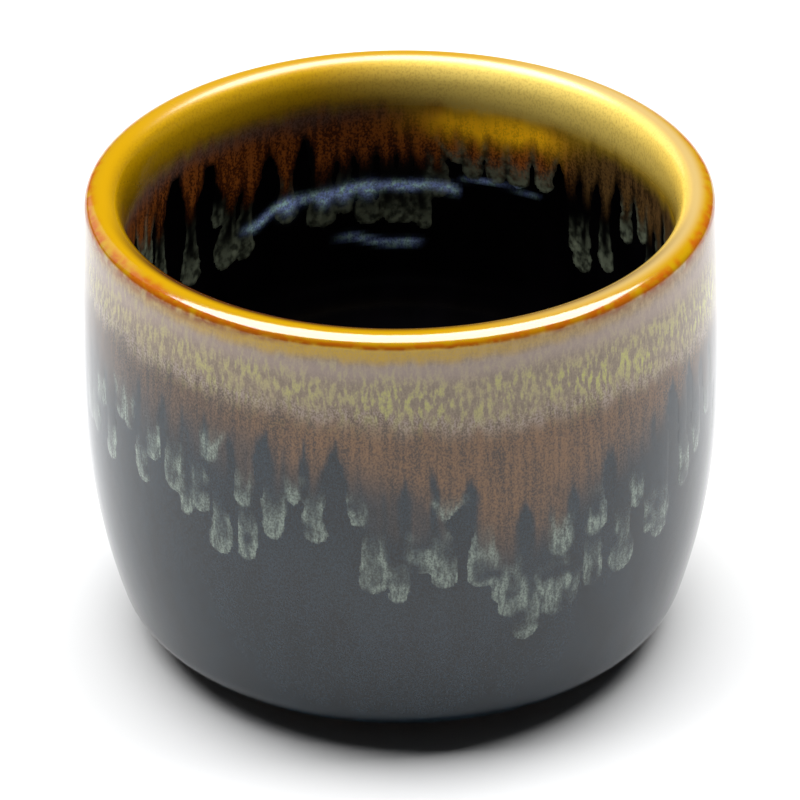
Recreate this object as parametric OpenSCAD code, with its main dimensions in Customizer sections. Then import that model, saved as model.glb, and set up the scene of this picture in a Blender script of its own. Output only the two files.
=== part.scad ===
// Guinomi: a small stoneware sake cup with a dark glaze and a running glaze over it
// All sizes in millimetres, +Z up, origin on the table at the centre of the foot

/* [Bowl] */
// Overall height of the cup
cup_h = 46; // [42:0.5:60]
// Widest diameter, at the belly
belly_d = 60.3; // [54:0.1:80]
// Height of the belly above the table
belly_z = 24; // [20:0.5:28]
// How far the wall draws in between the belly and the lip
lip_draw = 0.8; // [0.4:0.1:3]
// Thickness of the wall, glaze included
wall_t = 3.8; // [3.6:0.1:5]
// Radius of the round lip outside; inside it rounds over the rest of the wall
lip_r = 1.5; // [1.2:0.1:1.7]
// Slope from upright at which the lower wall meets the bottom corner, in degrees
base_slope = 16; // [10:1:24]
// Radius of the bottom corner
corner_r = 4.5; // [3:0.5:7]
// Thickness of the floor at its middle, glaze included
floor_t = 3.8; // [2.8:0.1:6]
// How far below the belly the inside starts to round in
well_drop = 1.5; // [0.5:0.5:4]
// Radius of the inside corner between the wall and the dished floor
well_r = 8; // [5:0.5:9]

/* [Foot] */
// Outer diameter of the foot ring
foot_d = 41; // [30:0.5:42]
// Width of the foot ring
foot_w = 3.2; // [2:0.1:5]
// Height of the foot under the bowl
foot_h = 2; // [1.5:0.1:4]
// Bevel along both edges of the foot ring
foot_bevel = 0.5; // [0.2:0.1:0.9]

/* [Glaze] */
// Thickness of the dark coat on the clay
base_coat_t = 0.3; // [0.2:0.05:0.5]
// Thickness of the running coat over the dark one
run_coat_t = 0.3; // [0.2:0.05:0.5]
// Depth of the amber lip band outside
lip_band_out = 2.4; // [1.8:0.1:6]
// Depth of the amber lip band inside
lip_band_in = 5; // [2:0.1:8]
// Bare clay left between the dark coat and the foot ring
foot_bare = 1; // [0.5:0.1:1.5]

/* [Runs] */
// Depth below the lip at which the outer coat parts into runs
outer_band = 13; // [8:0.5:15]
// Depth below the lip at which the inner coat parts into runs
inner_band = 9; // [8.5:0.5:11]
// Width of a run above its drop
run_neck = 1.5; // [0.8:0.1:2]
// Number of runs on the half of the outside that is turned away
far_outer_runs = 23; // [12:1:30]
// Number of runs on the half of the inside that is turned away
far_inner_runs = 19; // [10:1:26]
// Mean depth to which those runs reach outside
far_outer_reach = 24; // [18:0.5:27]
// Mean depth to which those runs reach inside
far_inner_reach = 17; // [14:0.5:20]
// How far those runs reach past or short of the mean
far_spread = 3; // [0:0.5:4]
// Mean width of their drops
far_drop = 2.6; // [2.2:0.1:3.2]

/* [Hidden] */
$fa = 1;
$fs = 0.4;

// Runs on the near half of the outside: turn from the front, depth reached, width of drop
near_outer_runs = [
    [-58, 17, 2.2], [-52, 21, 2.4], [-47, 17.5, 2.0], [-43, 20, 2.6], [-37, 21.5, 2.2],
    [-32, 24.5, 2.8], [-27, 24.5, 2.4], [-22, 21.5, 2.4], [-15, 21, 2.4], [-5, 26, 2.4],
    [0, 27, 2.4], [7, 25.5, 2.6], [15, 27, 3.0], [21.5, 32, 3.4], [28.5, 30.5, 3.2],
    [35.5, 28.5, 2.8], [43, 28.5, 3.2], [51, 27, 3.0], [59, 24, 2.8]
];
// Runs on the far wall of the inside, in the same order
near_inner_runs = [
    [123, 17, 2.4], [131, 20, 2.4], [139, 19.5, 2.6], [148, 12.5, 2.2], [153.5, 13, 2.2],
    [159, 12.5, 2.2], [164.5, 13, 2.4], [171, 15, 2.2], [175.5, 19, 2.4], [181, 18, 2.2],
    [187, 18, 2.4], [192.5, 16.5, 2.0], [197.5, 18, 2.6], [205, 17, 2.4],
    [218, 20, 3.2], [231, 19.5, 3.0], [241, 17.5, 2.6]
];
// Turn at which the far runs start and end, clear of the near ones
far_outer_arc = [67, 294];
far_inner_arc = [-110, 115];
// Step of turn that scatters reach and drop width without a visible repeat
scatter_turn = 137.5;
// Share of the mean by which the drops differ in width
drop_scatter = 0.15;
// Overshoot of every cutting body past the surface it cuts
cut_over = 1;
// Overlap of the two arcs of the lip, so that they cross cleanly
lip_lap = 0.005;
// Steps in which the curves of the well are turned
arc_steps = 12;

// Derived sizes of the finished surface
coat_t = base_coat_t + run_coat_t;
belly_r = belly_d / 2;
lip_in_r = wall_t - lip_r;
lip_z = cup_h - lip_r;
floor_z = foot_h + floor_t;
foot_r = foot_d / 2;

// Upper wall: one arc, upright at the belly and drawn in at the lip
upper_r = (lip_draw * lip_draw + pow(lip_z - belly_z, 2)) / (2 * lip_draw);
upper_c = [belly_r - upper_r, belly_z];
lip_turn = asin((lip_z - belly_z) / (upper_r - lip_r));
lip_c = upper_c + (upper_r - lip_r) * [cos(lip_turn), sin(lip_turn)];

// Inside of the lip: a wider arc that touches the outside one at the crest
rim_turn = lip_turn - 2 * asin((lip_in_r - lip_r) / (upper_r - lip_r) / 2);
rim_c = upper_c + (upper_r - lip_r) * [cos(rim_turn), sin(rim_turn)];
crest_turn = atan2(lip_c.y - rim_c.y, lip_c.x - rim_c.x);

// Lower wall: an arc that meets the bottom corner at base_slope
lower_r = corner_r + (belly_z - foot_h - corner_r) / sin(base_slope);
lower_c = [belly_r - lower_r, belly_z];
corner_c = lower_c + (lower_r - corner_r) * [cos(base_slope), -sin(base_slope)];

// Inside: the upper arc set in by the wall, upright below the belly, then a corner and a dish
inner_r = upper_r - wall_t;
inner_belly_r = belly_r - wall_t;
well_c = [inner_belly_r - well_r, belly_z - well_drop];
well_h = well_c.y - floor_z;
dish_r = (pow(well_c.x, 2) + pow(well_h, 2) - pow(well_r, 2)) / (2 * (well_h - well_r));
dish_c = [0, floor_z + dish_r];
dish_turn = atan2(dish_c.y - well_c.y, well_c.x);
dish_step = (90 - dish_turn) / (arc_steps + 1);

// Outline of the half section, filled from the axis to the outer surface set in by d
module outer_fill(d) {
    turn_z = corner_c.y - (corner_r - d) * sin(base_slope);
    under_z = foot_h + d;
    intersection() {
        translate(upper_c) circle(upper_r - d);
        translate([0, belly_z]) square([belly_d, cup_h - belly_z]);
    }
    intersection() {
        translate(lower_c) circle(lower_r - d);
        translate([0, turn_z]) square([belly_d, belly_z - turn_z]);
    }
    intersection() {
        translate(corner_c) circle(corner_r - d);
        translate([corner_c.x, under_z]) square([belly_d, turn_z - under_z]);
    }
    translate([0, under_z]) square([corner_c.x, turn_z - under_z]);
}

// Points along an arc about a centre, from one angle to another
function arc_points(centre, r, from, to) = [
    for (i = [0 : arc_steps])
        let (turn = from + (to - from) * i / arc_steps)
        centre + r * [cos(turn), sin(turn)]
];

// The hollow, filled from the axis to the inner surface set into the wall by d
module hollow_fill(d) {
    intersection() {
        translate(upper_c) circle(inner_r + d);
        translate([0, belly_z]) square([belly_d, cup_h - belly_z]);
    }
    dish = arc_points(dish_c, dish_r + d, dish_step - 90, -dish_turn - dish_step);
    polygon(concat(
        [[0, dish[0].y]],
        dish,
        arc_points(well_c, well_r + d, -dish_turn, 0),
        [[inner_belly_r + d, belly_z], [0, belly_z]]
    ));
}

// Half plane to the left of a line through a point
module left_of(point, turn) {
    translate(point) rotate(turn) translate([-belly_d, 0]) square([2 * belly_d, belly_d]);
}

// Half section of the wall with the surface set in by d all round, lip included
module wall_fill(d) {
    difference() {
        outer_fill(d);
        hollow_fill(d);
        left_of(lip_c, lip_turn);
        intersection() {
            left_of(rim_c, rim_turn);
            left_of(rim_c - [lip_r / 2, 0], crest_turn);
        }
    }
    intersection() {
        translate(rim_c - [0, 2 * lip_lap]) circle(lip_in_r + lip_lap - d);
        left_of(rim_c, crest_turn);
    }
    translate(lip_c) circle(lip_r - d);
}

// Part of the half plane higher than a depth below the lip
module above(depth) {
    translate([0, cup_h - depth]) square([belly_d, cup_h]);
}

// Half planes outside and inside the middle of the lip
module outside_lip() {
    translate([lip_c.x, 0]) square([belly_d, 2 * cup_h]);
}

module inside_lip() {
    square([lip_c.x, 2 * cup_h]);
}

// Half section of the trimmed foot ring with bevelled edges
module foot_fill() {
    top_z = foot_h + coat_t + cut_over;
    polygon([
        [foot_r - foot_w, top_z], [foot_r - foot_w, foot_bevel], [foot_r - foot_w + foot_bevel, 0],
        [foot_r - foot_bevel, 0], [foot_r, foot_bevel], [foot_r, top_z]
    ]);
}

// Outline of one run as seen square on: a neck that ends in a round drop
module run_outline(reach, drop, band) {
    drop_z = cup_h - reach + drop / 2;
    translate([0, drop_z]) circle(d = drop);
    translate([-run_neck / 2, drop_z]) square([run_neck, cup_h - band + cut_over - drop_z]);
}

// Bodies that keep the coat where it flowed: a closed band, and the runs below it
module flow(runs, band, near_r, far_r) {
    translate([0, 0, cup_h - band]) cylinder(r = far_r, h = band);
    for (run = runs)
        rotate([0, 0, run[0]]) translate([0, -near_r, 0]) rotate([90, 0, 0])
            linear_extrude(far_r - near_r) run_outline(run[1], run[2], band);
}

// Runs spread evenly over an arc, with reach and drop scattered round their means
function far_runs(count, arc, reach) = [
    for (i = [0 : count - 1]) [
        arc[0] + (arc[1] - arc[0]) * i / (count - 1),
        reach + far_spread * sin(i * scatter_turn),
        far_drop * (1 + drop_scatter * cos(i * scatter_turn))
    ]
];

// Stoneware bowl with its trimmed foot, bare on the foot and under it
module clay_body() {
    color("#8a5a3c") rotate_extrude() {
        wall_fill(coat_t);
        foot_fill();
    }
}

// Dark iron glaze outside, down round the corner and short of the foot ring
module outer_dark_glaze() {
    color("#2c2f36") rotate_extrude() difference() {
        outer_fill(run_coat_t);
        outer_fill(coat_t);
        above(lip_band_out);
        square([foot_r + foot_bare, foot_h + corner_r]);
    }
}

// Dark iron glaze inside, over the wall and the well
module inner_dark_glaze() {
    color("#17130f") rotate_extrude() difference() {
        hollow_fill(coat_t);
        hollow_fill(run_coat_t);
        above(lip_band_in);
    }
}

// Amber glaze over the round lip
module lip_glaze() {
    color("#c98a1a") rotate_extrude() difference() {
        wall_fill(0);
        wall_fill(coat_t);
        difference() {
            outside_lip();
            above(lip_band_out);
        }
        difference() {
            inside_lip();
            above(lip_band_in);
        }
    }
}

// Running glaze outside, which parts into runs that end in drops
module outer_run_glaze() {
    far = far_runs(far_outer_runs, far_outer_arc, far_outer_reach);
    color("#8d8f86") intersection() {
        rotate_extrude() difference() {
            outer_fill(0);
            outer_fill(run_coat_t);
            above(lip_band_out);
        }
        flow(concat(near_outer_runs, far), outer_band, corner_c.x, belly_r + cut_over);
    }
}

// Running glaze inside, which parts into shorter runs
module inner_run_glaze() {
    far = far_runs(far_inner_runs, far_inner_arc, far_inner_reach);
    color("#6b4a2a") intersection() {
        rotate_extrude() difference() {
            hollow_fill(run_coat_t);
            hollow_fill(0);
            above(lip_band_in);
        }
        flow(concat(near_inner_runs, far), inner_band, well_c.x, belly_r);
    }
}

clay_body();
outer_dark_glaze();
inner_dark_glaze();
lip_glaze();
outer_run_glaze();
inner_run_glaze();
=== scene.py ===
"""Guinomi sake cup: the looks of the part, built round its CAD frame.

One piece stands for each body of clay or coat of glaze in the CAD. Lengths in the classes are in
millimetres and turns in degrees, from the side that faces the camera and towards the right. Depths
are measured down from the top of the lip.
"""
import logging
import math
from dataclasses import dataclass
from enum import Enum

import bpy
import numpy as np
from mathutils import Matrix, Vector


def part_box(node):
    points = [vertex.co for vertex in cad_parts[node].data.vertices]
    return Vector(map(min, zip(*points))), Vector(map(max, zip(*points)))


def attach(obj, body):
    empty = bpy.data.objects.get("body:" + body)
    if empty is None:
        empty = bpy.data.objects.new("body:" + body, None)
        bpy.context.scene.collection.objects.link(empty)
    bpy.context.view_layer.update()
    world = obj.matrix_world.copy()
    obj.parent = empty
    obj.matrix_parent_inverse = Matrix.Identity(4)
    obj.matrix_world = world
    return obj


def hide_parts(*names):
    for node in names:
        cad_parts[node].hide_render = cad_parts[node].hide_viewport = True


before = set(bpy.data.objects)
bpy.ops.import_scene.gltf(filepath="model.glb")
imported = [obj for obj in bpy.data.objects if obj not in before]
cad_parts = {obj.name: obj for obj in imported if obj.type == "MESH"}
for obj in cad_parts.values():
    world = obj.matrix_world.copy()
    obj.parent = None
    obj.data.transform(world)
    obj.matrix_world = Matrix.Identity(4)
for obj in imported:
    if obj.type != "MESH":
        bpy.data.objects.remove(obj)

MM = 0.001
LOG = logging.getLogger("guinomi")

Point = tuple[float, float]
Colour = tuple[float, float, float]
Cell = tuple[float, float, float]
Profile = list[Point]
Fields = dict[str, np.ndarray]
Piece = bpy.types.Object
Socket = bpy.types.NodeSocket

# Places of the colour sockets on a Mix node, which uses the same names for its other kinds.
MIX_ONE = 6
MIX_OTHER = 7
MIX_RESULT = 2


class Node(Enum):
    """CAD nodes that the pieces stand for."""

    CLAY = "clay_body"
    OUTER_DARK = "outer_dark_glaze"
    INNER_DARK = "inner_dark_glaze"
    LIP = "lip_glaze"
    OUTER_RUN = "outer_run_glaze"
    INNER_RUN = "inner_run_glaze"


class Slot(Enum):
    """Material slots of the record."""

    CLAY = "clay"
    OUTER_DARK = "dark_glaze"
    INNER_DARK = "inner_dark_glaze"
    LIP = "lip_glaze"
    OUTER_RUN = "run_glaze"
    INNER_RUN = "inner_run_glaze"


class Side(Enum):
    """Sides of the wall."""

    OUTER = "outside"
    INNER = "inside"


def ease(low: float | np.ndarray, high: float | np.ndarray, value: np.ndarray) -> np.ndarray:
    """Rise smoothly from 0 at the low value to 1 at the high one."""
    share = np.clip((value - low) / (high - low), 0.0, 1.0)
    return share * share * (3.0 - 2.0 * share)


def between(rise: Point, fall: Point, value: np.ndarray) -> np.ndarray:
    """Give a plateau of 1 that rises over one pair of values and falls over the other."""
    return ease(*rise, value) * (1.0 - ease(*fall, value))


def bell(middle: float | np.ndarray, width: float, value: np.ndarray) -> np.ndarray:
    """Give a soft peak of 1 at the middle, which falls to about a third one width away."""
    return np.exp(-(((value - middle) / width) ** 2))


def held(value: np.ndarray) -> np.ndarray:
    """Hold values between 0 and 1."""
    return np.clip(value, 0.0, 1.0)


def wave(turn: np.ndarray) -> np.ndarray:
    """Give the sine of a turn in degrees, which is highest on the right."""
    return np.sin(np.radians(turn))


def wrapped(turn: np.ndarray) -> np.ndarray:
    """Bring a difference of turns into the range from -180 to 180 degrees."""
    return (turn + 180.0) % 360.0 - 180.0


@dataclass(frozen=True)
class Ripple:
    """Smooth seeded unevenness on the unrolled wall.

    Attributes:
        seed: Seed of the random lattice.
        across: Number of cells round the cup.
        cell: Height of a cell.
        rows: Number of rows of cells, after which they repeat.
    """

    seed: int
    across: int
    cell: float
    rows: int = 64

    def at(self, turn: np.ndarray, depth: np.ndarray) -> np.ndarray:
        """Look the unevenness up.

        Args:
            turn: Turns of the points.
            depth: Depths of the points.

        Returns:
            Values between -1 and 1.
        """
        lattice = np.random.default_rng(self.seed).uniform(-1.0, 1.0, (self.rows, self.across))
        along = (turn % 360.0) / 360.0 * self.across
        down = depth / self.cell + self.rows / 2
        column, row = np.floor(along).astype(int), np.floor(down).astype(int)
        side, fall = ease(0.0, 1.0, along - column), ease(0.0, 1.0, down - row)
        left, right = column % self.across, (column + 1) % self.across
        top, low = row % self.rows, (row + 1) % self.rows
        upper = lattice[top, left] * (1.0 - side) + lattice[top, right] * side
        lower = lattice[low, left] * (1.0 - side) + lattice[low, right] * side
        return upper * (1.0 - fall) + lower * fall


@dataclass(frozen=True)
class CupSection:
    """Half section of the cup, with every coat an even distance below the finished surface.

    Attributes:
        cup_h: Overall height.
        belly_r: Widest radius.
        coat_t: Thickness of the dark and the running coat together.
        wall_t: Thickness of the wall, glaze included.
        band_out: Depth of the lip band outside.
        band_in: Depth of the lip band inside.
        belly_z: Height of the belly.
        lip_draw: How far the wall draws in from the belly to the lip.
        base_slope: Slope of the lower wall at the bottom corner.
        corner_r: Radius of the bottom corner.
        foot_h: Height of the foot.
        foot_r: Outer radius of the foot ring.
        foot_w: Width of the foot ring.
        foot_bevel: Bevel of the foot ring.
        foot_bare: Bare clay between the dark coat and the foot ring.
        floor_t: Thickness of the floor.
        well_drop: How far below the belly the inside starts to round in.
        well_r: Radius of the inside corner.
        lip_r: Radius of the lip's edge outside.
        lip_edge: Turn at which that edge goes over into the crest.
        crest_r: Radius of the lip's crest.
        crest_low: How far the crest lies below the overall height.
        lip_fall: Radii of the crest and of its fall to the inside, each with the turn at which it ends.
        film_t: How far the dark coat lies below the finished surface, as the runs melt into it.
    """

    cup_h: float
    belly_r: float
    coat_t: float
    wall_t: float
    band_out: float
    band_in: float
    belly_z: float = 24.0
    lip_draw: float = 0.8
    base_slope: float = 16.0
    corner_r: float = 4.5
    foot_h: float = 2.0
    foot_r: float = 20.5
    foot_w: float = 3.2
    foot_bevel: float = 0.5
    foot_bare: float = 1.0
    floor_t: float = 3.8
    well_drop: float = 1.5
    well_r: float = 8.0
    lip_r: float = 1.0
    lip_edge: float = 53.5
    crest_r: float = 2.25
    crest_low: float = 0.08
    lip_fall: tuple[Point, ...] = ((2.25, 108.0), (2.0, 130.0), (1.6, 150.0), (4.0, 172.0), (9.0, 183.5))
    film_t: float = 0.03

    @classmethod
    def from_frame(cls) -> "CupSection":
        """Read the sizes that the boxes of the CAD nodes give.

        Returns:
            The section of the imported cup.
        """
        half: dict[Node, float] = {}
        for node in Node:
            low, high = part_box(node.value)
            half[node] = max(high.x, high.y, -low.x, -low.y) / MM
        lip_low, lip_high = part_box(Node.LIP.value)
        dark_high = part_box(Node.OUTER_DARK.value)[1]
        coat_t = half[Node.OUTER_RUN] - half[Node.CLAY]
        return cls(
            cup_h=lip_high.z / MM,
            belly_r=half[Node.OUTER_RUN],
            coat_t=coat_t,
            wall_t=half[Node.OUTER_RUN] + coat_t - half[Node.INNER_DARK],
            band_out=(lip_high.z - dark_high.z) / MM,
            band_in=(lip_high.z - lip_low.z) / MM,
        )

    def band(self, side: Side) -> float:
        """Give the depth of the lip band on one side."""
        return self.band_out if side is Side.OUTER else self.band_in

    @property
    def lip_z(self) -> float:
        """Height of the centre of the lip's edge."""
        drop = self.crest_r - (self.crest_r - self.lip_r) * math.sin(math.radians(self.lip_edge))
        return self.cup_h - self.crest_low - drop

    @property
    def crest_x(self) -> float:
        """Radius of the cup at the crest of the lip."""
        return self.lip_c[0] - (self.crest_r - self.lip_r) * math.cos(math.radians(self.lip_edge))

    @property
    def upper_r(self) -> float:
        """Radius of the arc from the belly to the lip."""
        rise = self.lip_z - self.belly_z
        return (self.lip_draw**2 + rise**2) / (2.0 * self.lip_draw)

    @property
    def lower_r(self) -> float:
        """Radius of the arc from the belly to the bottom corner."""
        rise = self.belly_z - self.foot_h - self.corner_r
        return self.corner_r + rise / math.sin(math.radians(self.base_slope))

    @property
    def lip_turn(self) -> float:
        """Lean of the wall at the lip, in radians."""
        return math.asin((self.lip_z - self.belly_z) / (self.upper_r - self.lip_r))

    @property
    def lip_c(self) -> Point:
        """Centre of the lip's edge.

        Returns:
            Its radius and height.
        """
        reach = self.upper_r - self.lip_r
        radius = self.belly_r - self.upper_r + reach * math.cos(self.lip_turn)
        return radius, self.belly_z + reach * math.sin(self.lip_turn)

    @property
    def corner_c(self) -> Point:
        """Centre of the bottom corner.

        Returns:
            Its radius and height.
        """
        slope = math.radians(self.base_slope)
        reach = self.lower_r - self.corner_r
        radius = self.belly_r - self.lower_r + reach * math.cos(slope)
        return radius, self.belly_z - reach * math.sin(slope)

    @property
    def inner_r(self) -> float:
        """Radius of the inside at the belly."""
        return self.belly_r - self.wall_t

    @property
    def well_z(self) -> float:
        """Height at which the inside starts to round in."""
        return self.belly_z - self.well_drop

    def wall_radius(self, side: Side, height: float, inset: float) -> float:
        """Give the radius of the wall above its rounded bottom.

        Args:
            side: Side of the wall.
            height: Height above the table.
            inset: How far the surface lies in the wall from the finished one.

        Returns:
            The radius there.
        """
        rise = height - self.belly_z
        if side is Side.OUTER:
            arc = self.upper_r if rise >= 0.0 else self.lower_r
            return self.belly_r - arc + math.sqrt((arc - inset) ** 2 - rise**2)
        if rise < 0.0:
            return self.inner_r + inset
        arc = self.upper_r - self.wall_t + inset
        return self.belly_r - self.upper_r + math.sqrt(arc**2 - rise**2)

    def wall_line(self, side: Side, inset: float, ends: Point, step: float) -> Profile:
        """Follow the wall downwards.

        Args:
            side: Side of the wall.
            inset: How far the line lies in the wall from the finished surface.
            ends: Depths at which it starts and ends.
            step: Spacing of the points.

        Returns:
            Points of radius and height.
        """
        top, bottom = ends
        count = max(1, round((bottom - top) / step))
        heights = np.linspace(self.cup_h - top, self.cup_h - bottom, count + 1)
        return [(self.wall_radius(side, z, inset), float(z)) for z in heights]

    def lip_line(self, inset: float, steps: int) -> Profile:
        """Follow the round lip from the outer wall over the top to the inner wall.

        Args:
            inset: How far the line lies below the finished surface.
            steps: Number of steps of each of its arcs.

        Returns:
            Points of radius and height.
        """
        centre, radius, turn = self.lip_c, self.lip_r, self.lip_turn
        line: Profile = []
        for next_r, end in ((self.lip_r, self.lip_edge), *self.lip_fall):
            shift = radius - next_r
            centre = (centre[0] + shift * math.cos(turn), centre[1] + shift * math.sin(turn))
            line = line[:-1] + self.arc(centre, next_r - inset, turn, math.radians(end), steps)
            radius, turn = next_r, math.radians(end)
        crest = self.crest_x
        width = crest - self.wall_radius(Side.INNER, line[-1][1], inset)
        stretch = width / (crest - line[-1][0])
        return [(r if r > crest else crest - (crest - r) * stretch, z) for r, z in line]

    def base_line(self, inset: float, steps: int) -> Profile:
        """Follow the bottom corner from the lower wall to the underside."""
        slope = math.radians(self.base_slope)
        return self.arc(self.corner_c, self.corner_r - inset, -slope, -math.pi / 2.0, steps)

    def well_line(self, inset: float, steps: int) -> Profile:
        """Follow the inside corner and the dished floor to the axis.

        Args:
            inset: How far the line lies in the wall.
            steps: Number of steps of each of the two arcs.

        Returns:
            Points of radius and height.
        """
        well = (self.inner_r - self.well_r, self.well_z)
        floor_z = self.foot_h + self.floor_t
        rise = well[1] - floor_z
        dish_r = (well[0] ** 2 + rise**2 - self.well_r**2) / (2.0 * (rise - self.well_r))
        dish = (0.0, floor_z + dish_r)
        turn = math.atan2(dish[1] - well[1], well[0])
        corner = self.arc(well, self.well_r + inset, 0.0, -turn, steps)
        floor = self.arc(dish, dish_r + inset, -turn, -math.pi / 2.0, steps)
        return corner + floor[1:]

    @staticmethod
    def arc(centre: Point, radius: float, start: float, end: float, steps: int) -> Profile:
        """Give points along an arc.

        Args:
            centre: Centre of the arc.
            radius: Radius of the arc.
            start: Angle at which it starts, in radians.
            end: Angle at which it ends, in radians.
            steps: Number of steps.

        Returns:
            Points of radius and height.
        """
        angles = np.linspace(start, end, steps + 1)
        return [
            (max(0.0, centre[0] + radius * math.cos(a)), centre[1] + radius * math.sin(a)) for a in angles
        ]


@dataclass(frozen=True)
class Lathe:
    """Turns profiles round the axis of the cup, as on a potter's wheel.

    Attributes:
        columns: Number of steps in a full turn.
        weld: Distance below which points are merged.
        crease: Angle above which an edge stays sharp.
    """

    columns: int
    weld: float = 0.002
    crease: float = 40.0

    def turn(self, name: str, profile: Profile) -> Piece:
        """Draw a profile point by point and spin it round the axis.

        Args:
            name: Name of the piece.
            profile: Points of radius and height, closed if the last is the first again.

        Returns:
            The piece, with smooth shading.
        """
        points = [Vector((0.0, -r * MM, z * MM)) for r, z in profile]
        bpy.ops.object.select_all(action="DESELECT")
        bpy.ops.mesh.primitive_plane_add(size=MM)
        piece = bpy.context.object
        piece.name = piece.data.name = name
        bpy.ops.object.mode_set(mode="EDIT")
        bpy.ops.mesh.select_all(action="SELECT")
        bpy.ops.mesh.merge(type="CENTER")
        bpy.ops.transform.translate(value=points[0])
        for here, there in zip(points, points[1:]):
            bpy.ops.mesh.extrude_region_move(TRANSFORM_OT_translate={"value": there - here})
        bpy.ops.object.mode_set(mode="OBJECT")
        wheel = piece.modifiers.new("wheel", "SCREW")
        wheel.axis = "Z"
        wheel.angle = math.tau
        wheel.steps = wheel.render_steps = self.columns
        bpy.ops.object.modifier_apply(modifier=wheel.name)
        bpy.ops.object.mode_set(mode="EDIT")
        bpy.ops.mesh.select_all(action="SELECT")
        bpy.ops.mesh.remove_doubles(threshold=self.weld * MM)
        bpy.ops.mesh.normals_make_consistent(inside=False)
        bpy.ops.object.mode_set(mode="OBJECT")
        bpy.ops.object.shade_smooth_by_angle(angle=math.radians(self.crease))
        return piece


def unrolled(piece: Piece, section: CupSection) -> tuple[np.ndarray, np.ndarray, np.ndarray]:
    """Unroll the points of a piece.

    Args:
        piece: Piece to read.
        section: Section of the cup.

    Returns:
        Turn, depth and radius of each vertex.
    """
    places = np.empty(len(piece.data.vertices) * 3, np.float32)
    piece.data.vertices.foreach_get("co", places)
    x, y, z = (places.reshape(-1, 3) / MM).astype(float).T
    return np.degrees(np.arctan2(x, -y)), section.cup_h - z, np.hypot(x, y)


@dataclass(frozen=True)
class Run:
    """One run of glaze that ends in a drop.

    Attributes:
        neck: Turn at which it leaves the band.
        drop: Turn at which its drop hangs.
        reach: Depth of its tip.
        width: Width of its drop.
    """

    neck: float
    drop: float
    reach: float
    width: float


@dataclass(frozen=True)
class Gap:
    """One dark gap between runs, which starts in a point and widens downwards.

    Attributes:
        turn: Turn at which it lies.
        top: Depth of its point.
        width: Width that it reaches.
    """

    turn: float
    top: float
    width: float


@dataclass(frozen=True)
class Parting:
    """Depth at which the runs have parted, which is lower in one place.

    Attributes:
        depth: Depth all round.
        lower: How much lower it lies in that place.
        place: Turn of the place.
        width: Half width of the place, in degrees.
    """

    depth: float
    lower: float
    place: float
    width: float

    def at(self, turn: np.ndarray) -> np.ndarray:
        """Look the depth up."""
        return self.depth + self.lower * bell(0.0, self.width, wrapped(turn - self.place))


@dataclass(frozen=True)
class Flow:
    """Running coat on one side of the wall.

    Attributes:
        radius: Radius on which widths are measured.
        parting: Depth at which the runs have parted.
        runs: Runs of the coat.
        gaps: Dark gaps between the runs.
        neck_w: Width of a run above its drop.
        flare: How much wider a run gets per millimetre above the parting.
        closed: How far above the parting the closed coat ends.
        lean_top: Depth at which the runs start to lean.
        swell_h: Height over which a run swells to its drop, in radii of the drop.
        drop_h: Heights above the drop's centre at which its field starts and is full, in such radii.
        tip_h: Height above the drop's centre at which the field of its tip starts, in such radii.
    """

    radius: float
    parting: Parting
    runs: tuple[Run, ...]
    gaps: tuple[Gap, ...]
    neck_w: float
    flare: float = 0.3
    closed: float = 4.2
    lean_top: float = 8.0
    swell_h: float = 3.2
    drop_h: Point = (4.0, 1.2)
    tip_h: float = 2.2

    def offset(self, turn: np.ndarray, middle: float | np.ndarray, sway: np.ndarray) -> np.ndarray:
        """Give the distance of points from a swaying line down the wall."""
        return np.abs(np.radians(wrapped(turn - middle)) * self.radius + sway)

    def shape(self, turn: np.ndarray, depth: np.ndarray) -> Fields:
        """Lay the runs on the wall.

        Args:
            turn: Turns of the points.
            depth: Depths of the points.

        Returns:
            Field "inside" with the distance to the coat's edge, more than 0 on the coat, field "drop"
            that is 1 on the drops, field "tip" that is 1 on their ends, and field "rim" that is 1 along
            the inside of their edges.
        """
        part = self.parting.at(turn)
        sway = Ripple(3, 90, 3.0).at(turn, depth) * 0.3 + Ripple(4, 300, 0.8).at(turn, depth) * 0.14
        inside = part - self.closed - depth
        drop, tip, rim = np.zeros_like(turn), np.zeros_like(turn), np.zeros_like(turn)
        for run in self.runs:
            round_r = run.width / 2.0
            low = run.reach - round_r
            lean = ease(self.lean_top, low, depth)
            side = self.offset(turn, run.neck + (run.drop - run.neck) * lean, sway)
            half = self.neck_w / 2.0 + self.flare * np.maximum(0.0, part - depth)
            swell = ease(low - self.swell_h * round_r, low, depth)
            half = half + (round_r - self.neck_w / 2.0) * swell
            edge = np.where(depth < low, half - side, round_r - np.hypot(side, depth - low))
            inside = np.maximum(inside, edge)
            start, full = (low - height * round_r for height in self.drop_h)
            window = ease(start, full, depth)
            drop = np.maximum(drop, window * ease(-0.1, 0.35, edge))
            end = ease(low - self.tip_h * round_r, low, depth)
            tip = np.maximum(tip, end * ease(0.0, 0.6, edge))
            rim = np.maximum(rim, window * bell(0.3, 0.26, edge))
        return {"inside": inside, "drop": drop, "tip": tip, "rim": rim}

    def cleft(self, turn: np.ndarray, depth: np.ndarray) -> np.ndarray:
        """Work out how much of the runs' colour the gaps take away.

        Args:
            turn: Turns of the points.
            depth: Depths of the points.

        Returns:
            The share that is taken away.
        """
        taken = np.zeros_like(turn)
        sway = Ripple(12, 140, 2.0).at(turn, depth) * 0.2
        for gap in self.gaps:
            below = depth - gap.top
            half = gap.width / 2.0 * ease(-0.3, 3.0, below)
            dark = ease(-0.2, 0.25, half - self.offset(turn, gap.turn, sway))
            taken = np.maximum(taken, dark * ease(-0.3, 0.8, below))
        return taken

    def fields(self, turn: np.ndarray, depth: np.ndarray) -> Fields:
        """Work out where each colour of this side lies."""
        raise NotImplementedError


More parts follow.
